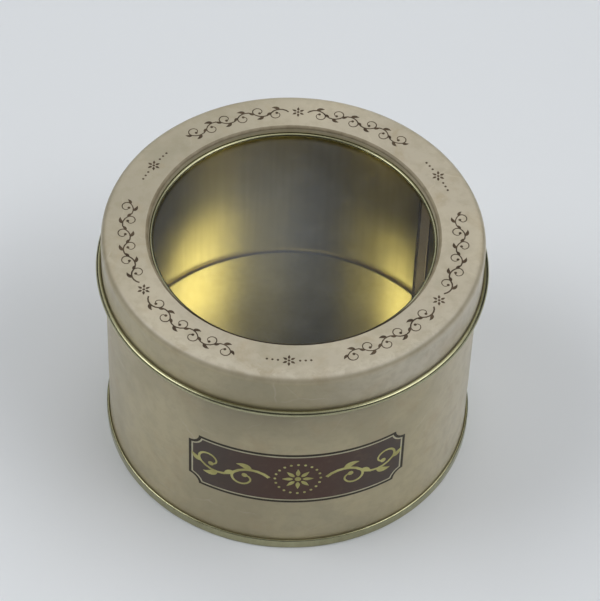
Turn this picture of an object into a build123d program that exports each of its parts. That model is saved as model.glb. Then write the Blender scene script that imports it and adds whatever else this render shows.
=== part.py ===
"""Round slip-lid tin with a clear window in the lid.

Lengths are in millimetres and angles in degrees. The tin stands on z = 0 with its axis on Z and its front,
where the printed panel is, towards -Y. Every pressing is drawn as the line that its sheet follows in the
plane of radius and height, given the sheet's thickness and turned about the axis.
"""

import os
from collections import namedtuple
from math import cos, radians, sin, sqrt

from build123d import *

# The whole tin
tin_height = 68.3
body_radius = 47.7
tinplate = 0.22
fold_gap = 0.05
lid_play = 0.41
seat_gap = 0.2

# Rolled wall
wall_curl_radius = 0.8
wall_curl_turn = 300
side_seam_width = 4.4
side_seam_azimuth = 42.5
side_seam_layers = 3
side_seam_end_gap = 0.4
fold_line_width = 0.5
fold_line_depth_share = 0.45

# Bottom end and double seam
seam_height = 2.9
seam_foot_bend = 0.35
hook_slack = 0.1
floor_height = 8.0
floor_corner_radius = 1.0

# Lid
lid_height = 12.65
shoulder_radius = 2.0
skirt_curl_radius = 0.85
skirt_curl_turn = 300
rim_width = 12.25
opening_curl_radius = 0.5
opening_curl_turn = 290
opening_depth = 2.65
opening_draft = 12
opening_edge_radius = 0.8

# Window pane and the ring that holds it
pane_overlap = 7.05
pane_thickness = 0.3
pane_side_gap = 0.3
ring_lip_setback = 1.95
ring_bend_radius = 0.5
ring_collar_height = 6.0

# Layers, counted from the middle of the rolled wall's sheet
half_sheet = tinplate / 2
layer_pitch = tinplate + fold_gap
wall_line = body_radius - half_sheet
collar_line = body_radius + lid_play + half_sheet
skirt_line = collar_line + layer_pitch

# Round the window, counted from the opening's innermost edge
opening_radius = body_radius - rim_width
pane_radius = opening_radius + pane_overlap
ring_lip_radius = opening_radius + ring_lip_setback

Run = namedtuple("Run", "length")
Turn = namedtuple("Turn", "radius degrees")

UP = Vector(0, 1)
DOWN = Vector(0, -1)
OUT = Vector(1, 0)


def follow(start, heading, moves, side):
    """Edges of the line that runs at a distance to the left of a sheet's middle line."""
    point = start + heading.rotate(Axis.Z, 90) * side
    edges = []
    for move in moves:
        if isinstance(move, Run):
            edge = Edge.make_line(point, point + heading * move.length)
        else:
            radius = move.radius - side if move.degrees > 0 else move.radius + side
            edge = JernArc(point, heading, radius, move.degrees)
        edges.append(edge)
        point, heading = edge @ 1, edge % 1
    return edges


def pressing(start, heading, moves):
    """A sheet that follows the moves, turned about the tin's axis."""
    left = follow(start, heading, moves, half_sheet)
    right = follow(start, heading, moves, -half_sheet)
    ends = [
        Edge.make_line(left[0] @ 0, right[0] @ 0),
        Edge.make_line(left[-1] @ 1, right[-1] @ 1),
    ]
    section = Face(Wire(left + right + ends))
    return revolve(Plane.XZ * section, Axis.Z)


def seat_height():
    """Height of the middle of the wall's top curl, where it stands just short of the ring's corner."""
    corner_radius = shoulder_radius - 2 * tinplate - fold_gap
    corner_from_axis = body_radius + lid_play - corner_radius
    corner_height = tin_height - shoulder_radius
    reach = max(corner_radius - wall_curl_radius - seat_gap, 0)
    aside = max(body_radius - wall_curl_radius - corner_from_axis, 0)
    return corner_height + sqrt(reach**2 - aside**2)


def rolled_wall():
    """Wall from the tip of its hook in the double seam to the raw edge inside its top curl."""
    fold_bottom = tinplate + hook_slack + half_sheet
    hook_foot = fold_bottom + layer_pitch
    hook_tip = seam_height - half_sheet - layer_pitch - hook_slack
    curl_line = wall_curl_radius - half_sheet
    return pressing(
        Vector(wall_line + 2 * layer_pitch, hook_tip),
        DOWN,
        [
            Run(hook_tip - hook_foot),
            Turn(layer_pitch, -180),
            Run(seat_height() - hook_foot),
            Turn(curl_line, wall_curl_turn),
        ],
    )


def side_seam():
    """The locked long edges, a flat strip of folded layers that stands in from the wall."""
    face_radius = body_radius - tinplate
    depth = side_seam_layers * tinplate
    low = floor_height + side_seam_end_gap
    high = seat_height() - wall_curl_radius - side_seam_end_gap
    band = Circle(face_radius + half_sheet) - Circle(face_radius - depth)
    across = Pos(face_radius, 0) * Rectangle(2 * side_seam_width, side_seam_width)
    strip = Pos(0, 0, low) * extrude(band & across, high - low)
    inner_edges = strip.edges().filter_by(Axis.Z).group_by(SortBy.DISTANCE)[0]
    return Rot(0, 0, side_seam_azimuth) * fillet(inner_edges, tinplate)


def fold_line():
    """Cutter for the fine line that the fold leaves down the outside of the wall."""
    depth = tinplate * fold_line_depth_share
    low = seam_height
    high = seat_height()
    bar = Box(2 * depth, fold_line_width, high - low, align=(Align.CENTER, Align.CENTER, Align.MIN))
    place = Pos(body_radius, side_seam_width / 2, low)
    return Rot(0, 0, side_seam_azimuth) * place * bar


def body_wall():
    """Rolled wall with its side seam."""
    return rolled_wall() + side_seam() - fold_line()


def bottom_end():
    """Floor with the rim that is folded round the wall's flange."""
    hook_tip = tinplate + hook_slack + half_sheet + layer_pitch + hook_slack
    seam_crown = seam_height - half_sheet - layer_pitch
    foot_line = seam_foot_bend - half_sheet
    foot_top = half_sheet + foot_line
    corner_line = floor_corner_radius - half_sheet
    chuck_line = wall_line - layer_pitch
    floor_line = floor_height - half_sheet
    return pressing(
        Vector(wall_line + layer_pitch, hook_tip),
        UP,
        [
            Run(seam_crown - hook_tip),
            Turn(layer_pitch, -180),
            Run(seam_crown - foot_top),
            Turn(foot_line, -90),
            Run(4 * layer_pitch - 2 * foot_line),
            Turn(foot_line, -90),
            Run(floor_line - corner_line - foot_top),
            Turn(corner_line, 90),
            Run(chuck_line - corner_line),
        ],
    )


def lid_shell():
    """Lid from the raw edge inside the opening's curl to the one inside the skirt's curl."""
    top_line = tin_height - half_sheet
    curl_line = opening_curl_radius - half_sheet
    edge_line = opening_edge_radius - half_sheet
    shoulder_line = shoulder_radius - half_sheet
    skirt_curl_line = skirt_curl_radius - half_sheet
    lean = radians(opening_draft)

    curl_middle = Vector(opening_radius + opening_curl_radius, tin_height - opening_depth + opening_curl_radius)
    edge_spoke = OUT.rotate(Axis.Z, -opening_draft - opening_curl_turn)
    start = curl_middle + edge_spoke * curl_line

    recess_foot = curl_middle.Y - curl_line * sin(lean)
    recess_run = (top_line - recess_foot - edge_line * (1 - sin(lean))) / cos(lean)
    flat_start = curl_middle.X + (curl_line + edge_line) * cos(lean) + recess_run * sin(lean)
    skirt_foot = tin_height - lid_height + skirt_curl_radius
    return pressing(
        start,
        edge_spoke.rotate(Axis.Z, 90),
        [
            Turn(curl_line, opening_curl_turn),
            Run(recess_run),
            Turn(edge_line, opening_draft - 90),
            Run(skirt_line - shoulder_line - flat_start),
            Turn(shoulder_line, -90),
            Run(top_line - shoulder_line - skirt_foot),
            Turn(skirt_curl_line, skirt_curl_turn),
        ],
    )


def pane_top():
    """Height of the pane's upper face, just under the opening's curl."""
    return tin_height - opening_depth - fold_gap


def window_pane():
    """Clear disc under the opening."""
    disc = Cylinder(pane_radius, pane_thickness, align=(Align.CENTER, Align.CENTER, Align.MAX))
    return Pos(0, 0, pane_top()) * disc


def window_retaining_ring():
    """Ring whose lip carries the pane, whose web lies under the lid's top and whose collar grips its skirt."""
    lip_height = pane_top() - pane_thickness - layer_pitch + half_sheet
    web_height = tin_height - half_sheet - layer_pitch
    bend_line = ring_bend_radius - half_sheet
    step_line = pane_radius + pane_side_gap + half_sheet
    corner_line = shoulder_radius - half_sheet - layer_pitch
    return pressing(
        Vector(ring_lip_radius, lip_height),
        OUT,
        [
            Run(step_line - bend_line - ring_lip_radius),
            Turn(bend_line, 90),
            Run(web_height - lip_height - 2 * bend_line),
            Turn(bend_line, -90),
            Run(collar_line - corner_line - step_line - bend_line),
            Turn(corner_line, -90),
            Run(ring_collar_height - shoulder_radius),
        ],
    )


NODES = {
    "body_wall": body_wall,
    "bottom_end": bottom_end,
    "lid_shell": lid_shell,
    "window_pane": window_pane,
    "window_retaining_ring": window_retaining_ring,
}

os.makedirs("parts", exist_ok=True)
for name, make in NODES.items():
    export_step(make(), f"parts/{name}.step")
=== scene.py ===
"""Looks of the round slip-lid tin with a clear window in its lid.

Lengths are in metres and angles in degrees. The tin stands on z = 0 with its axis on Z and its front
towards -Y. Every pressing is drawn as the line that its sheet follows in the plane of X and Z, spun about
the axis and given the sheet's thickness, so that its two faces can carry the print and the lacquer of real
tinplate.
"""

from collections import namedtuple
from math import atan2, ceil, cos, degrees, pi, radians, sin

import bmesh
import bpy
from mathutils import Matrix, Quaternion, Vector


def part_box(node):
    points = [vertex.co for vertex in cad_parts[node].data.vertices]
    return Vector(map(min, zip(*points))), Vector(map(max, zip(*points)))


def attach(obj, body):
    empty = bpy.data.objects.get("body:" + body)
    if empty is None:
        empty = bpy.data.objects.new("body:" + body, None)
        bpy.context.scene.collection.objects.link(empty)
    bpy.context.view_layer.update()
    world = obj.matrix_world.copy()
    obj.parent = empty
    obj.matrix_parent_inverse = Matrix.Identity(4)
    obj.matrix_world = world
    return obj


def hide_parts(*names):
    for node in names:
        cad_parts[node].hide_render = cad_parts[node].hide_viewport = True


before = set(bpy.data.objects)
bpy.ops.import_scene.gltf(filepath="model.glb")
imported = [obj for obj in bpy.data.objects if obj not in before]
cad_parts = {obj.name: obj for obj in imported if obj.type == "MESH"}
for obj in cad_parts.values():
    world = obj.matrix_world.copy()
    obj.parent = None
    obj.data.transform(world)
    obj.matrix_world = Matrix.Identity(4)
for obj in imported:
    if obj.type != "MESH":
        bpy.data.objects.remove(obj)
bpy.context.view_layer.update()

MM = 0.001

# Sizes that the frame gives
lid_low, lid_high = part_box("lid_shell")
_, wall_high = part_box("body_wall")
_, end_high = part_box("bottom_end")
pane_low, pane_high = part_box("window_pane")
_, ring_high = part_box("window_retaining_ring")
tin_height = lid_high.z
lid_height = lid_high.z - lid_low.z
floor_height = end_high.z
pane_radius = pane_high.x
pane_thickness = pane_high.z - pane_low.z

# Sheet and seam
tinplate = 0.22 * MM
fold_gap = 0.05 * MM
half_sheet = tinplate / 2
merge_distance = tinplate / 100
layer_pitch = tinplate + fold_gap
wall_line = end_high.x - half_sheet - 3 * layer_pitch
collar_line = ring_high.x - half_sheet
skirt_line = collar_line + layer_pitch
body_radius = wall_line + half_sheet
seam_height = 2.9 * MM
seam_foot_bend = 0.35 * MM
hook_slack = 0.1 * MM
floor_corner_radius = 1 * MM
wall_curl_radius = 0.8 * MM
wall_curl_turn = 300

# Lid, pane and the ring that holds it
shoulder_radius = 2 * MM
skirt_curl_radius = 0.85 * MM
skirt_curl_turn = 300
pane_overlap = 7.05 * MM
opening_radius = pane_radius - pane_overlap
opening_curl_radius = 0.5 * MM
opening_curl_turn = 290
opening_depth = 2.65 * MM
opening_draft = 12
opening_edge_radius = 0.8 * MM
opening_line_turn = 9
opening_print_share = 0.6
pane_side_gap = 0.3 * MM
ring_lip_setback = 1.95 * MM
ring_lip_radius = opening_radius + ring_lip_setback
ring_bend_radius = 0.5 * MM
ring_collar_height = 6 * MM

# Side seam
side_seam_azimuth = 42.5
side_seam_width = 4.4 * MM
side_seam_stripe = 1.2 * MM
side_seam_layers = 3
side_seam_end_gap = 0.4 * MM
side_seam_edge = 0.14 * MM
side_seam_edge_steps = 3
fold_line_width = 0.5 * MM
fold_line_depth = 0.1 * MM
fold_line_tolerance = tinplate / 10

# Printed border on the lid
border_radius = 42.15 * MM
border_bend_radius = 2.94 * MM
border_stem_width = 0.42 * MM
border_start = 2.5 * MM
border_half_waves = 6
border_rosette = 1.75 * MM
border_pearl = 0.3 * MM
border_pearl_pitch = 1.35 * MM
BORDER_PEARL_PLACES = (2, 3, 4)
BORDER_PETALS = 6
BORDER_SPRAYS = 3
BORDER_AZIMUTH = 90

# Printed panel on the wall
panel_azimuth = 274
panel_centre_height = 28.3 * MM
panel_width = 58 * MM
panel_height = 19.6 * MM
panel_corner = 3 * MM
panel_line = 0.8 * MM
panel_key = 0.45 * MM
panel_strip = 1 * MM
panel_bend_radius = 5.9 * MM
panel_stem_width = 0.95 * MM
panel_start = 7.3 * MM
panel_half_waves = 2
panel_rosette = 4 * MM
panel_pearl = 0.35 * MM
panel_pearl_ring = 5.8 * MM
PANEL_PEARLS = 20
PANEL_PETALS = 8

# Ink films, each laid a little over the one before
ink_film = 0.03 * MM
ink_step = 0.006 * MM
ink_layer = Vector((0, ink_step, 0))
ink_merge_distance = ink_step / 100
ink_cut_tolerance = ink_step / 10

# How finely round shapes are divided
ROUND_STEPS = 288
BEND_STEP = 15
SMOOTH_ANGLE = 40
CORNER_ANGLE = 60
SIDE_FACE_LIMIT = 0.7
bend_margin = 0.06 * MM
MOST_MARGIN_SHARE = 1 / 3
CUT_REACH = 3
SEAM_STEPS = 8
WAVE_BEND = 100
STROKE_BEND_STEP = 18
STROKE_LEAST_STEPS = 8
PEARL_SIDES = 14

Run = namedtuple("Run", "length")
Turn = namedtuple("Turn", "radius degrees")

UP = Vector((0, 0, 1))
DOWN = Vector((0, 0, -1))
OUT = Vector((1, 0, 0))

# Leaves, curls and petals, in shares of their stem's bend or width or of their rosette's reach
Leaf = namedtuple("Leaf", "lean bend length_share width_share")
CREST_LEAF = Leaf(50, 60, 0.75, 0.3)
HOLLOW_LEAF = Leaf(35, 50, 0.62, 0.26)
CURL = (Turn(0.42, 200), Turn(0.26, 110))
berry_share = 0.13
stem_taper_share = 0.3
curl_width_share = 0.78
leaf_point_share = 0.03
LEAF_FULLNESS = 0.75
petal_start_share = 0.3
petal_width_share = 2.2
rosette_eye_share = 0.2


def turned(direction, angle):
    """A direction in the plane of X and Z, turned to the left."""
    return Matrix.Rotation(radians(-angle), 3, "Y") @ direction


def side_of(move):
    """1 for a bend to the left, -1 for one to the right."""
    return 1 if move.degrees > 0 else -1


def bend_centre(point, heading, bend):
    """The middle of a bend that begins at a point."""
    return point + turned(heading, 90 * side_of(bend)) * bend.radius


def walk(point, heading, moves):
    """The place and heading at the end of a line that follows the moves."""
    for move in moves:
        if isinstance(move, Run):
            point = point + heading * move.length
        else:
            centre = bend_centre(point, heading, move)
            heading = turned(heading, move.degrees)
            point = centre - turned(heading, 90 * side_of(move)) * move.radius
    return point, heading


def draw_run(bm, tip, step, margin):
    """Draws a straight stretch, which a row at the margin from each end keeps flat beside its bends."""
    end = min(margin / step.length, MOST_MARGIN_SHARE)
    for share in (end, 1 - 2 * end, end) if margin else (1,):
        tip = bmesh.ops.extrude_vert_indiv(bm, verts=[tip])["verts"][0]
        bmesh.ops.translate(bm, verts=[tip], vec=step * share)
    return tip


def draw_turn(bm, tip, heading, bend):
    """Draws a bend, to the left where its angle is positive."""
    drawn = bmesh.ops.spin(
        bm,
        geom=[tip],
        cent=bend_centre(tip.co, heading, bend),
        axis=(0, -side_of(bend), 0),
        angle=radians(abs(bend.degrees)),
        steps=ceil(abs(bend.degrees) / BEND_STEP),
    )
    return next(item for item in drawn["geom_last"] if isinstance(item, bmesh.types.BMVert))


def drawn_line(start, heading, moves, margin=bend_margin):
    """A line in the plane of X and Z that follows the moves. A bend with no radius is a sharp corner."""
    bm = bmesh.new()
    tip = bm.verts.new(start)
    for move in moves:
        if isinstance(move, Run):
            tip = draw_run(bm, tip, heading * move.length, margin)
        else:
            if move.radius > 0:
                tip = draw_turn(bm, tip, heading, move)
            heading = turned(heading, move.degrees)
    bmesh.ops.remove_doubles(bm, verts=bm.verts, dist=merge_distance)
    return bm


def spun_sheet(start, heading, moves):
    """The middle of a sheet that follows the moves, spun about the axis. Its normals point to their left."""
    bm = drawn_line(start, heading, moves)
    left = turned(heading, 90)
    bmesh.ops.spin(
        bm,
        geom=bm.verts[:] + bm.edges[:],
        cent=(0, 0, 0),
        axis=(0, 0, 1),
        angle=2 * pi,
        steps=ROUND_STEPS,
        use_merge=True,
    )
    bmesh.ops.remove_doubles(bm, verts=bm.verts, dist=merge_distance)
    bmesh.ops.recalc_face_normals(bm, faces=bm.faces)
    first = min(bm.faces, key=lambda face: (face.calc_center_median() - Vector(start)).length)
    if first.normal.dot(left) < 0:
        bmesh.ops.reverse_faces(bm, faces=bm.faces)
    return bm


def as_object(name, bm, finishes):
    """A finished bmesh as an object with its materials."""
    mesh = bpy.data.meshes.new(name)
    bm.to_mesh(mesh)
    bm.free()
    for finish in finishes:
        mesh.materials.append(finish)
    made = bpy.data.objects.new(name, mesh)
    bpy.context.scene.collection.objects.link(made)
    return made


def shade(piece):
    """Smooths a piece's faces and keeps its edges sharp where they turn by more than the smooth angle."""
    piece.data.shade_smooth()
    piece.data.set_sharp_from_angle(angle=radians(SMOOTH_ANGLE))
    return piece


def pressing(name, sheet, *finishes):
    """A spun sheet given its thickness. Each face has its own finish, and its back has the one after it."""
    piece = as_object(name, sheet, finishes)
    wall = piece.modifiers.new("sheet", "SOLIDIFY")
    wall.thickness = tinplate
    wall.offset = 0
    wall.use_even_offset = True
    wall.material_offset = 1
    wall.material_offset_rim = 1
    bpy.context.view_layer.update()
    solid = bpy.data.meshes.new_from_object(piece.evaluated_get(bpy.context.evaluated_depsgraph_get()))
    piece.modifiers.clear()
    piece.data = solid
    return shade(piece)


def place(piece, body, slot, *nodes):
    """Puts a piece on its body and in the place of CAD nodes. Its material slot is not used."""
    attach(piece, body)
    if nodes:
        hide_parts(*nodes)
    return piece


# Sockets by which the mix node takes a share and two colours, and the one that gives their mix
MIX_SHARE, MIX_FIRST, MIX_SECOND = 0, 6, 7
MIX_RESULT = 2

# Levels between which soft noise lies nearly everywhere
NOISE_LEVELS = (0.3, 0.7)


class Finish:
    """A material's nodes, with short ways to add and join them."""

    def __init__(self, name):
        self.material = bpy.data.materials.new(name)
        self.material.use_nodes = True
        self.tree = self.material.node_tree
        self.shader = self.tree.nodes["Principled BSDF"]
        self.place = self.add("ShaderNodeTexCoord").outputs["Object"]

    def add(self, kind, inputs=None, **settings):
        """A new node with its settings and its inputs."""
        made = self.tree.nodes.new(kind)
        for name, value in settings.items():
            setattr(made, name, value)
        for name, value in (inputs or {}).items():
            self.feed(made, name, value)
        return made

    def feed(self, made, name, value):
        """Links a node's input to a socket or gives it a value."""
        if isinstance(value, bpy.types.NodeSocket):
            self.tree.links.new(value, made.inputs[name])
        else:
            made.inputs[name].default_value = value

    def stretched(self, x, y, z):
        """The piece's own coordinates, multiplied along each axis."""
        return self.add("ShaderNodeMapping", {"Vector": self.place, "Scale": (x, y, z)}).outputs["Vector"]

    def noise(self, size, detail=3, roughness=0.5, distortion=0, place=None):
        """Soft noise with spots of about the given size."""
        inputs = {
            "Vector": place or self.place,
            "Scale": 1 / size,
            "Detail": detail,
            "Roughness": roughness,
            "Distortion": distortion,
        }
        return self.add("ShaderNodeTexNoise", inputs).outputs["Fac"]

    def ramp(self, value, low, high, to_low=0, to_high=1, curve="SMOOTHSTEP"):
        """A value stretched from one range to another and held within it."""
        inputs = {"Value": value, "From Min": low, "From Max": high, "To Min": to_low, "To Max": to_high}
        return self.add("ShaderNodeMapRange", inputs, interpolation_type=curve).outputs["Result"]

    def patches(self, size, start, full, most=1, **noise):
        """A share that grows from none to the most as soft noise rises from one level to another."""
        return self.ramp(self.noise(size, **noise), start, full, to_high=most)

    def uneven(self, size, least, most, **noise):
        """A value that wanders softly between two bounds."""
        return self.ramp(self.noise(size, **noise), *NOISE_LEVELS, least, most)

    def along(self, way, start, end, most=1):
        """A share that grows from none to the most between two distances along a direction."""
        reach = self.add("ShaderNodeVectorMath", {0: self.place, 1: way}, operation="DOT_PRODUCT")
        return self.ramp(reach.outputs["Value"], start, end, to_high=most)

    def from_axis(self):
        """The distance from the tin's axis."""
        flat = self.stretched(1, 1, 0)
        return self.add("ShaderNodeVectorMath", {0: flat}, operation="LENGTH").outputs["Value"]

    def off_centre(self, place):
        """How far a place lies from x = 0, to either side."""
        across = self.add("ShaderNodeSeparateXYZ", {"Vector": place}).outputs["X"]
        return self.sums("ABSOLUTE", across, 0)

    def mix(self, share, first, second):
        """A mix of two colours."""
        made = self.add("ShaderNodeMix", data_type="RGBA")
        self.feed(made, MIX_SHARE, share)
        self.feed(made, MIX_FIRST, first)
        self.feed(made, MIX_SECOND, second)
        return made.outputs[MIX_RESULT]

    def covered(self, ground, *layers):
        """A colour covered by one layer after another, each with its share and its tone."""
        for share, tone in layers:
            ground = self.mix(share, ground, tone)
        return ground

    def sums(self, operation, first, second):
        """Two numbers joined by a sum, product or the like."""
        made = self.add("ShaderNodeMath", operation=operation)
        self.feed(made, 0, first)
        self.feed(made, 1, second)
        return made.outputs[0]

    def product(self, *shares):
        """Several shares multiplied together."""
        whole = shares[0]
        for share in shares[1:]:
            whole = self.sums("MULTIPLY", whole, share)
        return whole

    def set(self, **inputs):
        """Sets the main shader's inputs, whose names are written with low lines for spaces."""
        for name, value in inputs.items():
            self.feed(self.shader, name.replace("_", " "), value)

    def bump(self, height, depth):
        """Feeds a height to the shader's normal, at the real depth that a height of 1 stands for."""
        made = self.add("ShaderNodeBump", {"Height": height, "Distance": depth, "Strength": 1})
        self.feed(self.shader, "Normal", made.outputs["Normal"])


def colour(red, green, blue):
    """A colour given as it shows on a screen, from 0 to 255, as the shader's own light values."""
    shares = (value / 255 for value in (red, green, blue))
    return tuple(s / 12.92 if s <= 0.04045 else ((s + 0.055) / 1.055) ** 2.4 for s in shares) + (1,)


# Tones of the print, and of the shade painted on it
STONE = colour(180, 168, 134)
CREAM = colour(197, 184, 147)
LID_CREAM = colour(218, 209, 198)
DULL_CREAM = colour(168, 159, 136)
LIGHT_CREAM = colour(218, 209, 192)
SHADOW_BROWN = colour(140, 130, 102)
STAIN_BROWN = colour(179, 157, 119)
COOL_STONE = colour(159, 153, 129)
MOTTLE_BROWN = colour(162, 149, 119)
CREASE_CREAM = colour(214, 204, 180)
SPECK_BROWN = colour(160, 142, 107)
FLAKE_CREAM = colour(218, 209, 188)
BEND_SHADE_BROWN = colour(110, 98, 74)

# Where the print and the shade painted on it change
lid_foot_blend = 1 * MM
shadow_height = 16 * MM
flat_edge = skirt_line - shoulder_radius
flake_width = 3.5 * MM
bend_shade_width = 1 * MM

# How far below the lid's top its flakes end and the painted shade line on its bend starts, is full, fades
# and ends
flake_drop = 0.6 * MM
bend_shade_start_drop = 0.1 * MM
bend_shade_full_drop = 0.5 * MM
bend_shade_fade_drop = 0.6 * MM
bend_shade_end_drop = 1.4 * MM

# Fine creases: the mesh of their net, their width as a share of it, and the reach and the size of their sway
crease_mesh = 13 * MM
crease_width_share = 0.025
crease_sway = 3 * MM
crease_sway_size = 5 * MM


def on_lid(finish):
    """1 on the lid and 0 below its foot."""
    return finish.along(UP, lid_low.z, lid_low.z + lid_foot_blend)


def below_lid(finish):
    """1 below the lid's foot and 0 on the lid."""
    return finish.along(UP, lid_low.z + lid_foot_blend, lid_low.z)


def clouded_ground(finish):
    """Cream and stone clouds, paler on the lid's top and duller at the tin's rear left."""
    clouds = finish.patches(24 * MM, 0.36, 0.64, detail=4, roughness=0.55, distortion=0.3)
    on_top = finish.along(UP, tin_height - shoulder_radius, tin_height, most=0.42)
    rear_left = finish.along(direction(150), 12 * MM, 40 * MM, most=0.52)
    return finish.covered(STONE, (clouds, CREAM), (on_top, LID_CREAM), (rear_left, DULL_CREAM))


def lightened_and_shaded(finish, ground):
    """The ground, lighter at the right of the skirt and the wall, with painted shade in front under the
    lid's foot.
    """
    right_of_skirt = finish.product(
        finish.along(direction(345), 12 * MM, 46 * MM, most=0.7),
        on_lid(finish),
        finish.along(UP, tin_height, tin_height - shoulder_radius),
    )
    # Painted shade: the wall darkens in front just under the lid's foot, where the lid shades it
    shade_under_lid = finish.product(
        finish.along(UP, lid_low.z - shadow_height, lid_low.z, most=0.32),
        below_lid(finish),
        finish.along(direction(268), 34 * MM, 47 * MM),
    )
    right_of_wall = finish.product(
        finish.along(direction(350), 37 * MM, 48 * MM, most=0.4),
        below_lid(finish),
    )
    return finish.covered(
        ground, (right_of_skirt, LIGHT_CREAM), (shade_under_lid, SHADOW_BROWN), (right_of_wall, LIGHT_CREAM)
    )


def crease_distance(finish):
    """How far a place lies from the nearest line of a wavering net of creases, as a share of its mesh."""
    noise = {"Vector": finish.place, "Scale": 1 / crease_sway_size}
    sway = finish.add("ShaderNodeTexNoise", noise).outputs["Color"]
    shift = finish.add("ShaderNodeVectorMath", {0: sway, "Scale": crease_sway}, operation="SCALE").outputs[0]
    warped = finish.add("ShaderNodeVectorMath", {0: finish.place, 1: shift}, operation="ADD").outputs[0]
    net = {"Vector": warped, "Scale": 1 / crease_mesh}
    return finish.add("ShaderNodeTexVoronoi", net, feature="DISTANCE_TO_EDGE").outputs["Distance"]


def aged(finish, ground):
    """The ground with stains, cool patches, fine mottling, pale creases and specks."""
    stains = finish.patches(11 * MM, 0.5, 0.72, most=0.4, detail=6, roughness=0.62, distortion=0.6)
    cool = finish.patches(16 * MM, 0.55, 0.75, most=0.35)
    mottling = finish.patches(3 * MM, 0.42, 0.66, most=0.24, detail=5, roughness=0.62)
    creases = finish.product(
        finish.ramp(crease_distance(finish), 0, crease_width_share, to_low=1, to_high=0),
        finish.patches(9 * MM, 0.5, 0.72, most=0.35),
    )
    specks = finish.patches(0.6 * MM, 0.62, 0.8, most=0.25, detail=2, roughness=0.7)
    return finish.covered(
        ground,
        (stains, STAIN_BROWN),
        (cool, COOL_STONE),
        (mottling, MOTTLE_BROWN),
        (creases, CREASE_CREAM),
        (specks, SPECK_BROWN),
    )


def flaked_edge_and_bend_shade(finish, ground):
    """The ground, flaked along the front edge of the lid's flat top, with a line of painted shade on the
    bend outside it.
    """
    flakes = finish.product(
        finish.patches(3.5 * MM, 0.47, 0.58, most=0.4, detail=6, roughness=0.7, distortion=0.5),
        finish.ramp(finish.from_axis(), flat_edge - flake_width, flat_edge),
        finish.along(UP, tin_height - flake_drop, tin_height - bend_shade_start_drop),
        finish.along(direction(272), 14 * MM, 40 * MM),
    )
    # Painted shade: a darker line on the bend outside the flat top, where the print turns down
    bend_shade = finish.product(
        finish.ramp(finish.from_axis(), flat_edge - bend_shade_width, flat_edge),
        finish.along(UP, tin_height - bend_shade_start_drop, tin_height - bend_shade_full_drop, most=0.3),
        finish.along(UP, tin_height - bend_shade_end_drop, tin_height - bend_shade_fade_drop),
    )
    return finish.covered(ground, (flakes, FLAKE_CREAM), (bend_shade, BEND_SHADE_BROWN))


def parchment_print():
    """Matt-varnished print of old parchment."""
    finish = Finish("parchment_print")
    finish.set(
        Base_Color=flaked_edge_and_bend_shade(finish, aged(finish, lightened_and_shaded(finish, clouded_ground(finish)))),
        Roughness=finish.uneven(7 * MM, 0.36, 0.44, detail=4),
        Specular_IOR_Level=0.38,
        Coat_Weight=0.2,
        Coat_Roughness=0.22,
    )
    ripple = finish.sums("MULTIPLY", finish.noise(18 * MM, detail=2), 6)
    finish.bump(finish.sums("ADD", ripple, finish.noise(0.5 * MM, detail=2)), 0.004 * MM)
    return finish.material


def lacquered_tin(name, tones, roughness, shine=0.9, painted_shade_tone=None):
    """Tinplate under clear or gold lacquer: a satin mirror with faint rolling lines and cloudy patches.

    The tones are those of its light patches, its dark ones and its lines. The shine is the share of the
    light that it mirrors, and it scatters the rest. Where a painted shade tone is given, the lacquer darkens
    to it towards the rim, most at the tin's left and right, as painted shade under the lid.
    """
    finish = Finish(name)
    light, dark, lines = tones
    clouds = finish.patches(14 * MM, 0.35, 0.65, detail=4, roughness=0.55, distortion=0.4)
    rolled = finish.noise(1.6 * MM, detail=1, place=finish.stretched(1, 1, 0.04))
    tone = finish.covered(dark, (clouds, light), (finish.ramp(rolled, 0.35, 0.7, to_high=0.35), lines))
    # Painted shade: the lid shades the wall's upper sides, so the lacquer darkens towards the rim there
    if painted_shade_tone:
        sides = finish.ramp(finish.off_centre(finish.place), -14 * MM, 26 * MM)
        rise = finish.along(UP, 20 * MM, 36 * MM, most=0.5)
        tone = finish.mix(finish.product(sides, rise), tone, painted_shade_tone)
    finish.set(
        Base_Color=tone,
        Metallic=shine,
        Roughness=finish.ramp(clouds, 0, 1, *roughness),
    )
    waves = finish.sums("MULTIPLY", finish.noise(9 * MM, detail=2), 8)
    finish.bump(finish.sums("ADD", rolled, waves), 0.0012 * MM)
    return finish.material


def clear_film():
    """Clear plastic with a little dust: what isn't mirrored passes straight through the thin sheet."""
    finish = Finish("clear_film")
    nodes = finish.tree.nodes
    passed = finish.add("ShaderNodeBsdfTransparent", {"Color": (0.985, 0.99, 0.985, 1)})
    mirrored = finish.add("ShaderNodeBsdfGlossy", {"Color": (1, 1, 1, 1), "Roughness": 0.2})
    haze = finish.add("ShaderNodeBsdfDiffuse", {"Color": colour(225, 228, 228)})
    facing = finish.add("ShaderNodeLayerWeight", {"Blend": 0.5}).outputs["Facing"]
    grazing = finish.sums("POWER", facing, 5)
    mirror = finish.ramp(grazing, 0, 1, to_low=0.04, curve="LINEAR")
    clear = finish.add("ShaderNodeMixShader", {0: mirror, 1: passed.outputs[0], 2: mirrored.outputs[0]})
    dust = finish.ramp(finish.noise(6 * MM, detail=5, roughness=0.7), 0.4, 0.8, to_low=0.004, to_high=0.02)
    film = finish.add("ShaderNodeMixShader", {0: dust, 1: clear.outputs[0], 2: haze.outputs[0]})
    finish.tree.links.new(film.outputs[0], nodes["Material Output"].inputs["Surface"])
    nodes.remove(finish.shader)
    return finish.material


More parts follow.
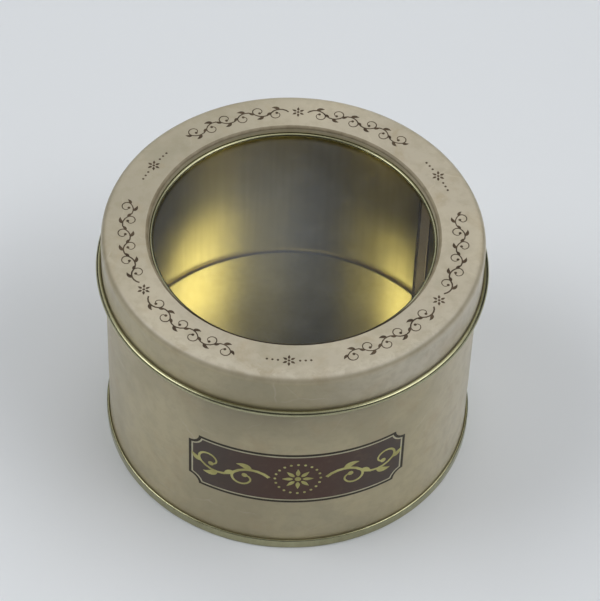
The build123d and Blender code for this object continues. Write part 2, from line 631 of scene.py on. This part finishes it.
def panel_ground():
    """Dark printed ground: reddish brown in its middle, greyish brown towards its ends."""
    finish = Finish("panel_ground")
    middle = direction(panel_azimuth) * body_radius
    centred = finish.add("ShaderNodeMapping", {"Vector": finish.place, "Location": (-middle.x, 0, 0)})
    reach = finish.off_centre(centred.outputs["Vector"])
    strayed = finish.sums("ADD", reach, finish.sums("MULTIPLY", finish.noise(8 * MM), 6 * MM))
    blend = finish.ramp(strayed, 6 * MM, 28 * MM)
    tone = finish.mix(blend, colour(86, 60, 48), colour(80, 67, 58))
    worn = finish.patches(2.5 * MM, 0.5, 0.75, most=0.3, detail=5, roughness=0.65)
    finish.set(
        Base_Color=finish.mix(worn, tone, colour(112, 92, 70)),
        Roughness=finish.uneven(5 * MM, 0.32, 0.4),
        Specular_IOR_Level=0.2,
        Coat_Weight=0.1,
        Coat_Roughness=0.2,
    )
    finish.bump(finish.noise(0.5 * MM, detail=2), 0.002 * MM)
    return finish.material


def printed_ink(name, light, dark, size, front=None):
    """Ink under the same varnish, uneven where worn, maybe with a painted shade tone in front."""
    finish = Finish(name)
    dense = finish.patches(size, 0.35, 0.68, detail=4, roughness=0.6)
    grain = finish.patches(0.35 * MM, 0.4, 0.75, most=0.3, detail=2, roughness=0.6)
    tone = finish.covered(light, (dense, dark), (grain, light))
    if front:
        tone = finish.mix(finish.along(direction(270), 15 * MM, 30 * MM), tone, front)
    finish.set(
        Base_Color=tone,
        Roughness=finish.uneven(5 * MM, 0.34, 0.42),
        Specular_IOR_Level=0.2,
        Coat_Weight=0.1,
        Coat_Roughness=0.22,
    )
    finish.bump(finish.noise(0.5 * MM, detail=2), 0.002 * MM)
    return finish.material


def direction(azimuth, elevation=0):
    """The direction at an azimuth counted from +X towards +Y and a height above the horizon."""
    turn, rise = radians(azimuth), radians(elevation)
    return Vector((cos(turn) * cos(rise), sin(turn) * cos(rise), sin(rise)))


def seat_height():
    """Height of the middle of the wall's top curl."""
    return wall_high.z - wall_curl_radius


def cut_near(bm, azimuth, plane_point, plane_normal):
    """Cuts the faces that lie near an azimuth along a plane."""
    outward = direction(azimuth)
    near = cos(radians(CUT_REACH))
    faces = [face for face in bm.faces if face.calc_center_median().xy.normalized().dot(outward.xy) > near]
    edges = list(dict.fromkeys(edge for face in faces for edge in face.edges))
    verts = list(dict.fromkeys(vert for face in faces for vert in face.verts))
    bmesh.ops.bisect_plane(
        bm, geom=verts + edges + faces, dist=merge_distance, plane_co=plane_point, plane_no=plane_normal
    )


def press_fold_line(bm):
    """Presses the fine line that the locked seam leaves down the outside of the wall."""
    azimuth = side_seam_azimuth + degrees(side_seam_width / 2 / body_radius)
    half_turn = degrees(fold_line_width / 2 / body_radius)
    low = seam_height + tinplate
    cut_near(bm, azimuth, (0, 0, low), UP)
    for turn in (-half_turn, 0, half_turn):
        cut_near(bm, azimuth, (0, 0, 0), direction(azimuth + turn + 90))
    across = direction(azimuth + 90)
    outward = direction(azimuth)
    for vert in bm.verts:
        on_line = abs(vert.co.dot(across)) < fold_line_tolerance and vert.co.dot(outward) > 0
        if on_line and low < vert.co.z < seat_height():
            vert.co -= outward * fold_line_depth


def tin_wall(outside, inside):
    """Rolled wall from its hook in the double seam to its top curl, drawn upwards along its outside."""
    fold_bottom = tinplate + hook_slack + half_sheet
    hook_foot = fold_bottom + layer_pitch
    hook_tip = seam_height - half_sheet - layer_pitch - hook_slack
    sheet = spun_sheet(
        Vector((wall_line + 2 * layer_pitch, 0, hook_tip)),
        DOWN,
        [
            Run(hook_tip - hook_foot),
            Turn(layer_pitch, -180),
            Run(seat_height() - hook_foot),
            Turn(wall_curl_radius - half_sheet, wall_curl_turn),
        ],
    )
    press_fold_line(sheet)
    return pressing("tin_wall", sheet, inside, outside)


def locked_seam(band, edge):
    """The wall's locked long edges: a band of folded layers that stands in from the wall, with dark side
    faces and a dark stripe along one edge, partly a side-seam stripe and partly painted shade.
    """
    outer = body_radius - half_sheet
    inner = body_radius - (side_seam_layers + 1) * tinplate
    low = floor_height + side_seam_end_gap
    high = seat_height() - wall_curl_radius - side_seam_end_gap
    half_turn = side_seam_width / 2 / body_radius
    bm = bmesh.new()
    bmesh.ops.create_grid(bm, x_segments=1, y_segments=1, size=0.5)
    bmesh.ops.scale(bm, verts=bm.verts, vec=(outer - inner, high - low, 1))
    bmesh.ops.rotate(bm, verts=bm.verts, cent=(0, 0, 0), matrix=Matrix.Rotation(radians(90), 3, "X"))
    bmesh.ops.translate(bm, verts=bm.verts, vec=((outer + inner) / 2, 0, (high + low) / 2))
    start = Matrix.Rotation(radians(side_seam_azimuth) - half_turn, 3, "Z")
    bmesh.ops.rotate(bm, verts=bm.verts, cent=(0, 0, 0), matrix=start)
    bmesh.ops.spin(
        bm, geom=bm.faces[:], cent=(0, 0, 0), axis=(0, 0, 1), angle=2 * half_turn, steps=SEAM_STEPS
    )
    bmesh.ops.recalc_face_normals(bm, faces=bm.faces)
    corners = [fold for fold in bm.edges if fold.calc_face_angle() > radians(CORNER_ANGLE)]
    bmesh.ops.bevel(
        bm,
        geom=corners,
        affect="EDGES",
        offset=side_seam_edge,
        segments=side_seam_edge_steps,
        profile=0.5,
        material=-1,
    )
    # Partly a side-seam stripe and partly painted shade: the side faces and the edge at the higher azimuth
    # are dark brown
    stripe_start = radians(side_seam_azimuth) + half_turn - side_seam_stripe / body_radius
    for face in bm.faces:
        middle = face.calc_center_median()
        on_side = abs(face.normal.dot(direction(side_seam_azimuth))) < SIDE_FACE_LIMIT
        if on_side or atan2(middle.y, middle.x) > stripe_start:
            face.material_index = 1
    return shade(as_object("locked_side_seam", bm, [band, edge]))


def seamed_end(outside, inside):
    """Floor with the rim that is folded round the wall's flange."""
    hook_tip = tinplate + hook_slack + half_sheet + layer_pitch + hook_slack
    seam_crown = seam_height - half_sheet - layer_pitch
    foot_line = seam_foot_bend - half_sheet
    foot_top = half_sheet + foot_line
    corner_line = floor_corner_radius - half_sheet
    chuck_line = wall_line - layer_pitch
    sheet = spun_sheet(
        Vector((wall_line + layer_pitch, 0, hook_tip)),
        UP,
        [
            Run(seam_crown - hook_tip),
            Turn(layer_pitch, -180),
            Run(seam_crown - foot_top),
            Turn(foot_line, -90),
            Run(4 * layer_pitch - 2 * foot_line),
            Turn(foot_line, -90),
            Run(floor_height - half_sheet - corner_line - foot_top),
            Turn(corner_line, 90),
            Run(chuck_line - corner_line),
        ],
    )
    return pressing("double_seamed_end", sheet, outside, inside)


def lid(outside, inside, line):
    """Lid from the raw edge inside its opening's curl to the one inside its skirt's curl.

    A fine dark line of painted shade lies on the bend round the opening, darkest in front, and the print
    ends a little over halfway down the recess.
    """
    top_line = tin_height - half_sheet
    curl_line = opening_curl_radius - half_sheet
    edge_line = opening_edge_radius - half_sheet
    shoulder_line = shoulder_radius - half_sheet
    skirt_curl_line = skirt_curl_radius - half_sheet
    lean = radians(opening_draft)
    curl_middle = Vector(
        (opening_radius + opening_curl_radius, 0, tin_height - opening_depth + opening_curl_radius)
    )
    spoke = turned(OUT, -opening_draft - opening_curl_turn)
    recess_foot = curl_middle.z - curl_line * sin(lean)
    recess_run = (top_line - recess_foot - edge_line * (1 - sin(lean))) / cos(lean)
    flat_start = curl_middle.x + (curl_line + edge_line) * cos(lean) + recess_run * sin(lean)
    skirt_foot = tin_height - lid_height + skirt_curl_radius
    sheet = spun_sheet(
        curl_middle + spoke * curl_line,
        turned(spoke, 90),
        [
            Turn(curl_line, opening_curl_turn),
            Run(recess_run * (1 - opening_print_share)),
            Run(recess_run * opening_print_share),
            Turn(edge_line, opening_draft - 90),
            Run(skirt_line - shoulder_line - flat_start),
            Turn(shoulder_line, -90),
            Run(top_line - shoulder_line - skirt_foot),
            Turn(skirt_curl_line, skirt_curl_turn),
        ],
    )
    bend_foot = top_line - edge_line * (1 - sin(lean))
    line_top = top_line - edge_line * (1 - cos(radians(opening_line_turn)))
    print_foot = bend_foot - opening_print_share * recess_run * cos(lean)
    finishes = [outside, inside, inside, line, inside]
    for face in sheet.faces:
        middle = face.calc_center_median()
        if middle.xy.length < flat_start and middle.z < print_foot:
            face.material_index = finishes.index(inside)
        elif middle.xy.length < flat_start and bend_foot < middle.z < line_top:
            face.material_index = finishes.index(line)
    return pressing("lid", sheet, *finishes)


def retaining_ring(finish):
    """Ring whose lip carries the pane, whose web lies under the lid and whose collar grips its skirt."""
    lip_height = pane_low.z - fold_gap - half_sheet
    web_height = tin_height - half_sheet - layer_pitch
    bend_line = ring_bend_radius - half_sheet
    step_line = pane_radius + pane_side_gap + half_sheet
    corner_line = shoulder_radius - half_sheet - layer_pitch
    sheet = spun_sheet(
        Vector((ring_lip_radius, 0, lip_height)),
        OUT,
        [
            Run(step_line - bend_line - ring_lip_radius),
            Turn(bend_line, 90),
            Run(web_height - lip_height - 2 * bend_line),
            Turn(bend_line, -90),
            Run(collar_line - corner_line - step_line - bend_line),
            Turn(corner_line, -90),
            Run(ring_collar_height - shoulder_radius),
        ],
    )
    return pressing("window_ring", sheet, finish, finish)


def window(finish):
    """Clear disc under the opening."""
    bm = bmesh.new()
    bmesh.ops.create_circle(bm, cap_ends=True, segments=ROUND_STEPS, radius=pane_radius)
    bmesh.ops.translate(bm, verts=bm.verts, vec=(0, 0, pane_low.z))
    disc = bmesh.ops.extrude_face_region(bm, geom=bm.faces[:])
    raised = [item for item in disc["geom"] if isinstance(item, bmesh.types.BMVert)]
    bmesh.ops.translate(bm, verts=raised, vec=(0, 0, pane_thickness))
    bmesh.ops.recalc_face_normals(bm, faces=bm.faces)
    return shade(as_object("clear_window", bm, [finish]))


def move_length(move):
    """How far a run or a bend goes."""
    return move.length if isinstance(move, Run) else move.radius * radians(abs(move.degrees))


def draw_stroke(bm, point, heading, moves, width_at):
    """Draws a flat ribbon in the plane of X and Z, whose width follows the share of its way gone so far."""
    whole = sum(move_length(move) for move in moves)
    gone = 0
    width = width_at(0)
    half = turned(heading, 90) * width / 2
    rung = bm.edges.new((bm.verts.new(point + half), bm.verts.new(point - half)))
    for move in moves:
        bent = isinstance(move, Turn)
        least = abs(move.degrees) / STROKE_BEND_STEP if bent else 1
        steps = ceil(max(least, STROKE_LEAST_STEPS * move_length(move) / whole))
        centre = bend_centre(point, heading, move) if bent else None
        for _ in range(steps):
            made = bmesh.ops.extrude_edge_only(bm, edges=[rung])["geom"]
            tips = [item for item in made if isinstance(item, bmesh.types.BMVert)]
            if bent:
                swing = Matrix.Rotation(radians(-move.degrees / steps), 3, "Y")
                bmesh.ops.rotate(bm, verts=tips, cent=centre, matrix=swing)
            else:
                bmesh.ops.translate(bm, verts=tips, vec=heading * move.length / steps)
            gone += move_length(move) / steps
            middle = (tips[0].co + tips[1].co) / 2
            stretch = width_at(min(gone / whole, 1)) / width
            about = Matrix.Translation(-middle)
            bmesh.ops.scale(bm, verts=tips, vec=(stretch, stretch, stretch), space=about)
            width *= stretch
            rung = bm.edges.get(tips)
        point, heading = walk(point, heading, [move])


def leaf(bm, point, heading, bend, length, width):
    """A pointed leaf that bends as it grows, laid a step over its stem."""
    moves = [Turn(length / radians(abs(bend)), bend)] if bend else [Run(length)]

    def outline(share):
        return width * max(sin(pi * share**LEAF_FULLNESS), leaf_point_share)

    draw_stroke(bm, point - ink_layer, heading, moves, outline)


def pearl(bm, point, radius):
    """A round dot, laid two steps over the stems."""
    dot = bmesh.ops.create_circle(bm, cap_ends=True, segments=PEARL_SIDES, radius=radius)["verts"]
    bmesh.ops.rotate(bm, verts=dot, cent=(0, 0, 0), matrix=Matrix.Rotation(radians(90), 3, "X"))
    bmesh.ops.translate(bm, verts=dot, vec=point - 2 * ink_layer)


def rosette(bm, centre, petals, reach):
    """A small flower of pointed petals round a dot."""
    for index in range(petals):
        spoke = turned(UP, index * 360 / petals)
        foot = centre + spoke * reach * petal_start_share
        leaf(bm, foot, spoke, 0, reach * (1 - petal_start_share), reach * petal_width_share / petals)
    pearl(bm, centre, reach * rosette_eye_share)


def scroll_leaf(bm, point, heading, side, bend_radius, form):
    """A leaf that leans out from its stem and bends back along it."""
    lean = turned(heading, -side * form.lean)
    leaf(bm, point, lean, side * form.bend, bend_radius * form.length_share, bend_radius * form.width_share)


def rinceau(bm, start, half_waves, bend_radius, stem_width):
    """A waving stem that grows towards +X, a leaf on each crest and a curl with a berry in each hollow."""
    waves = [Turn(bend_radius, WAVE_BEND * (-1) ** (index + 1)) for index in range(half_waves)]
    point, heading = start, turned(OUT, WAVE_BEND / 2)

    def stem_at(share):
        return stem_width * (1 - stem_taper_share * share)

    def curl_at(share):
        return stem_width * (curl_width_share - stem_taper_share * share)

    draw_stroke(bm, point, heading, waves, stem_at)
    for wave in waves:
        side = side_of(wave)
        crest, along = walk(point, heading, [Turn(bend_radius, wave.degrees / 2)])
        scroll_leaf(bm, crest, along, side, bend_radius, CREST_LEAF)
        point, heading = walk(point, heading, [wave])
        curl = [Turn(bend_radius * part.radius, side * part.degrees) for part in CURL]
        draw_stroke(bm, point, heading, curl, curl_at)
        eye, _ = walk(point, heading, curl)
        pearl(bm, eye, bend_radius * berry_share)
        scroll_leaf(bm, point, heading, side, bend_radius, HOLLOW_LEAF)


def mirrored(bm):
    """Repeats flat artwork on the other side of x = 0."""
    bmesh.ops.mirror(
        bm, geom=bm.verts[:] + bm.edges[:] + bm.faces[:], matrix=Matrix.Identity(4), merge_dist=0, axis="X"
    )


def thicken(bm):
    """Turns flat artwork into closed films, half of whose thickness sinks into what they lie on."""
    bmesh.ops.remove_doubles(bm, verts=bm.verts, dist=ink_merge_distance)
    bmesh.ops.translate(bm, verts=bm.verts, vec=(0, ink_film / 2, 0))
    grown = bmesh.ops.extrude_face_region(bm, geom=bm.faces[:])["geom"]
    front = [item for item in grown if isinstance(item, bmesh.types.BMVert)]
    bmesh.ops.translate(bm, verts=front, vec=(0, -ink_film, 0))
    bmesh.ops.recalc_face_normals(bm, faces=bm.faces)


def lay_on_ring(bm, azimuth):
    """Lays flat artwork on the lid's flat ring, its +Z running outwards."""
    for vert in bm.verts:
        radius = border_radius + vert.co.z
        turn = degrees(-vert.co.x / border_radius)
        vert.co = direction(azimuth + turn) * radius + UP * (tin_height - vert.co.y)


def wrap_on_wall(bm, azimuth, height):
    """Wraps flat artwork on the outside of the wall, its +X running to the right as one looks at it."""
    for vert in bm.verts:
        radius = body_radius - vert.co.y
        turn = degrees(vert.co.x / body_radius)
        vert.co = direction(azimuth + turn) * radius + UP * (height + vert.co.z)


def lid_border(ink):
    """Printed border: sprays of leafy scrolls round the lid's flat ring, with a rosette in each gap."""
    spray = bmesh.new()
    rinceau(spray, OUT * border_start, border_half_waves, border_bend_radius, border_stem_width)
    gap_middle = OUT * border_radius * pi / BORDER_SPRAYS
    for count in BORDER_PEARL_PLACES:
        pearl(spray, gap_middle - OUT * border_pearl_pitch * count, border_pearl)
    mirrored(spray)
    rosette(spray, Vector(), BORDER_PETALS, border_rosette)
    rosette(spray, gap_middle, BORDER_PETALS, border_rosette)
    thicken(spray)
    lay_on_ring(spray, BORDER_AZIMUTH)
    bmesh.ops.spin(
        spray,
        geom=spray.verts[:] + spray.edges[:] + spray.faces[:],
        cent=(0, 0, 0),
        axis=(0, 0, 1),
        angle=radians(360 - 360 / BORDER_SPRAYS),
        steps=BORDER_SPRAYS - 1,
        use_duplicate=True,
    )
    return shade(as_object("lid_border", spray, [ink]))


def front_panel(line, key, ground):
    """Printed panel with hollow corners: a dark line, a pale one and a dark ground, wrapped on the wall."""
    side = Run(panel_height - 2 * panel_corner)
    edge = Run(panel_width - 2 * panel_corner)
    corner = [Turn(0, -90), Turn(panel_corner, 90), Turn(0, -90)]
    start = Vector((-edge.length / 2, 0, panel_height / 2))
    bm = drawn_line(start, OUT, [edge, *corner, side, *corner, edge, *corner, side, *corner], margin=0)
    inner = bmesh.ops.contextual_create(bm, geom=bm.edges[:])["faces"]
    for index, width in ((1, panel_line), (2, panel_key)):
        bmesh.ops.inset_region(bm, faces=inner, thickness=width, use_boundary=True, use_even_offset=True)
        for face in inner:
            face.material_index = index
    for cut in range(1, ceil(panel_width / panel_strip)):
        bmesh.ops.bisect_plane(
            bm,
            geom=bm.verts[:] + bm.edges[:] + bm.faces[:],
            dist=ink_cut_tolerance,
            plane_co=OUT * (cut * panel_strip - panel_width / 2),
            plane_no=OUT,
        )
    thicken(bm)
    wrap_on_wall(bm, panel_azimuth, panel_centre_height)
    return shade(as_object("front_panel", bm, [line, key, ground]))


def panel_scrolls(ink):
    """Leafy scrolls on both sides of a rosette within a ring of pearls, printed on the panel."""
    bm = bmesh.new()
    rinceau(bm, OUT * panel_start, panel_half_waves, panel_bend_radius, panel_stem_width)
    mirrored(bm)
    rosette(bm, Vector(), PANEL_PETALS, panel_rosette)
    for index in range(PANEL_PEARLS):
        pearl(bm, turned(OUT, index * 360 / PANEL_PEARLS) * panel_pearl_ring, panel_pearl)
    bmesh.ops.translate(bm, verts=bm.verts, vec=(0, -ink_film / 2, 0))
    thicken(bm)
    wrap_on_wall(bm, panel_azimuth, panel_centre_height)
    return shade(as_object("panel_scrolls", bm, [ink]))


print_finish = parchment_print()
gold_finish = lacquered_tin(
    "gold_lacquer",
    tones=(colour(232, 220, 162), colour(224, 212, 154), colour(212, 199, 140)),
    roughness=(0.275, 0.28),
    shine=1,
    painted_shade_tone=colour(90, 86, 84),
)
floor_finish = lacquered_tin(
    "floor_lacquer",
    tones=(colour(215, 203, 151), colour(206, 194, 142), colour(195, 182, 128)),
    roughness=(0.15, 0.19),
    shine=1,
)
pale_finish = lacquered_tin(
    "pale_lacquer",
    tones=(colour(176, 173, 140), colour(164, 161, 128), colour(150, 146, 112)),
    roughness=(0.2, 0.26),
)
seam_finish = lacquered_tin(
    "seam_lacquer",
    tones=(colour(212, 192, 162), colour(200, 180, 150), colour(186, 166, 136)),
    roughness=(0.2, 0.26),
    shine=0.3,
)
seam_stripe_and_shade_finish = lacquered_tin(
    "seam_stripe_and_shade_lacquer",
    tones=(colour(112, 94, 68), colour(104, 86, 62), colour(96, 80, 58)),
    roughness=(0.2, 0.26),
    shine=0.7,
)
film_finish = clear_film()
brown_ink = printed_ink("brown_ink", colour(94, 78, 60), colour(64, 50, 36), 3 * MM)
# Painted shade: the dark line on the bend round the opening, darkest in front
opening_bend_shade = printed_ink("opening_bend_shade", colour(154, 142, 118), colour(134, 122, 98), 3 * MM, colour(56, 46, 32))
line_ink = printed_ink("panel_line_ink", colour(56, 46, 24), colour(44, 36, 18), 4 * MM)
key_ink = printed_ink("panel_key_ink", colour(206, 199, 168), colour(186, 178, 148), 4 * MM)
gold_ink = printed_ink("panel_gold_ink", colour(206, 200, 128), colour(176, 168, 98), 5 * MM)
ground_ink = panel_ground()

place(tin_wall(print_finish, gold_finish), "tin_body", "printed_tinplate", "body_wall")
place(locked_seam(seam_finish, seam_stripe_and_shade_finish), "tin_body", "gold_lacquer")
place(front_panel(line_ink, key_ink, ground_ink), "tin_body", "printed_tinplate")
place(panel_scrolls(gold_ink), "tin_body", "printed_tinplate")
place(lid_border(brown_ink), "lid", "printed_tinplate")
place(seamed_end(pale_finish, floor_finish), "tin_body", "gold_lacquer", "bottom_end")
place(lid(print_finish, pale_finish, opening_bend_shade), "lid", "printed_tinplate", "lid_shell")
place(retaining_ring(pale_finish), "lid", "gold_lacquer", "window_retaining_ring")
place(window(film_finish), "lid", "clear_window", "window_pane")

# Camera, whose place and lens were worked out from the circles that the photograph shows
CAMERA_ELEVATION = 47.83
CAMERA_ROLL = 2.31
camera_distance = 729.5 * MM
camera_aim = Vector((2.2, -12.8, 56.7)) * MM
FOCAL_PIXELS = 2897
IMAGE_WIDTH_PIXELS = 600
SENSOR_WIDTH = 36


def camera():
    """A camera before the tin that looks down at its lid, turned a little about its line of sight."""
    lens = bpy.data.cameras.new("camera")
    lens.sensor_fit = "HORIZONTAL"
    lens.sensor_width = SENSOR_WIDTH
    lens.lens = FOCAL_PIXELS * SENSOR_WIDTH / IMAGE_WIDTH_PIXELS
    seat = bpy.data.objects.new("camera", lens)
    bpy.context.scene.collection.objects.link(seat)
    elevation = radians(CAMERA_ELEVATION)
    way = Vector((0, -cos(elevation), sin(elevation)))
    seat.location = way * camera_distance + UP * tin_height
    seat.rotation_mode = "QUATERNION"
    look = (camera_aim - seat.location).to_track_quat("-Z", "Y")
    seat.rotation_quaternion = look @ Quaternion((0, 0, 1), radians(CAMERA_ROLL))
    bpy.context.scene.camera = seat


floor_reach = 1500 * MM


def floor():
    """Plain pale floor."""
    bm = bmesh.new()
    bmesh.ops.create_grid(bm, x_segments=1, y_segments=1, size=floor_reach)
    paper = Finish("pale_floor")
    paper.set(Base_Color=colour(238, 240, 243), Roughness=0.75, Specular_IOR_Level=0.3)
    as_object("floor", bm, [paper.material])


# Soft lights of the room: where each one stands as seen from the tin, how far from its middle it is even,
# how far it reaches and how bright it is. Little light comes from the camera's side.
SoftLight = namedtuple("SoftLight", "azimuth elevation even reach brightness")
SOFT_LIGHTS = [
    SoftLight(0, 48, 6, 23, 2.5),
    SoftLight(330, 50, 2, 13, 2.5),
    SoftLight(330, 48, 6, 23, 0.85),
    SoftLight(180, 48, 6, 23, 3.7),
    SoftLight(210, 48, 6, 23, 0.5),
    SoftLight(120, 48, 6, 23, 0.9),
    SoftLight(60, 68, 6, 23, 2),
    SoftLight(300, 48, 6, 23, 0.25),
    SoftLight(270, 76, 6, 23, 0.6),
]
ROOM_COLOUR = (0.98, 1, 1.01, 1)


def studio():
    """The room, whose soft lights fade at their edges."""
    world = bpy.data.worlds.new("room")
    bpy.context.scene.world = world
    world.use_nodes = True
    tree = world.node_tree
    way = tree.nodes.new("ShaderNodeTexCoord").outputs["Generated"]
    background = tree.nodes["Background"]
    background.inputs["Color"].default_value = ROOM_COLOUR
    whole = None
    for light in SOFT_LIGHTS:
        facing = tree.nodes.new("ShaderNodeVectorMath")
        facing.operation = "DOT_PRODUCT"
        facing.inputs[1].default_value = direction(light.azimuth, light.elevation)
        tree.links.new(way, facing.inputs[0])
        share = tree.nodes.new("ShaderNodeMapRange")
        share.interpolation_type = "SMOOTHSTEP"
        share.inputs["From Min"].default_value = cos(radians(light.reach))
        share.inputs["From Max"].default_value = cos(radians(light.even))
        share.inputs["To Max"].default_value = light.brightness
        tree.links.new(facing.outputs["Value"], share.inputs["Value"])
        if whole is None:
            whole = share.outputs["Result"]
        else:
            added = tree.nodes.new("ShaderNodeMath")
            added.operation = "ADD"
            tree.links.new(whole, added.inputs[0])
            tree.links.new(share.outputs["Result"], added.inputs[1])
            whole = added.outputs[0]
    tree.links.new(whole, background.inputs["Strength"])


# Pale card behind the tin, whose reflection softly brightens the middle of the window
card_place = Vector((-7, 168, 251)) * MM
card_width = 36 * MM
card_height = 40 * MM
CARD_BRIGHTNESS = 1.3
CARD_COLOUR = (0.82, 0.94, 1.1)


def card():
    """A small lit card that faces the window."""
    lamp = bpy.data.lights.new("card", "AREA")
    lamp.shape = "RECTANGLE"
    lamp.size = card_width
    lamp.size_y = card_height
    lamp.color = CARD_COLOUR
    lamp.energy = CARD_BRIGHTNESS * pi * card_width * card_height
    seat = bpy.data.objects.new("card", lamp)
    bpy.context.scene.collection.objects.link(seat)
    seat.location = card_place
    seat.rotation_mode = "QUATERNION"
    seat.rotation_quaternion = (card_place - UP * tin_height).to_track_quat("Z", "Y")


camera()
floor()
studio()
card()
bpy.context.scene.view_settings.view_transform = "Standard"
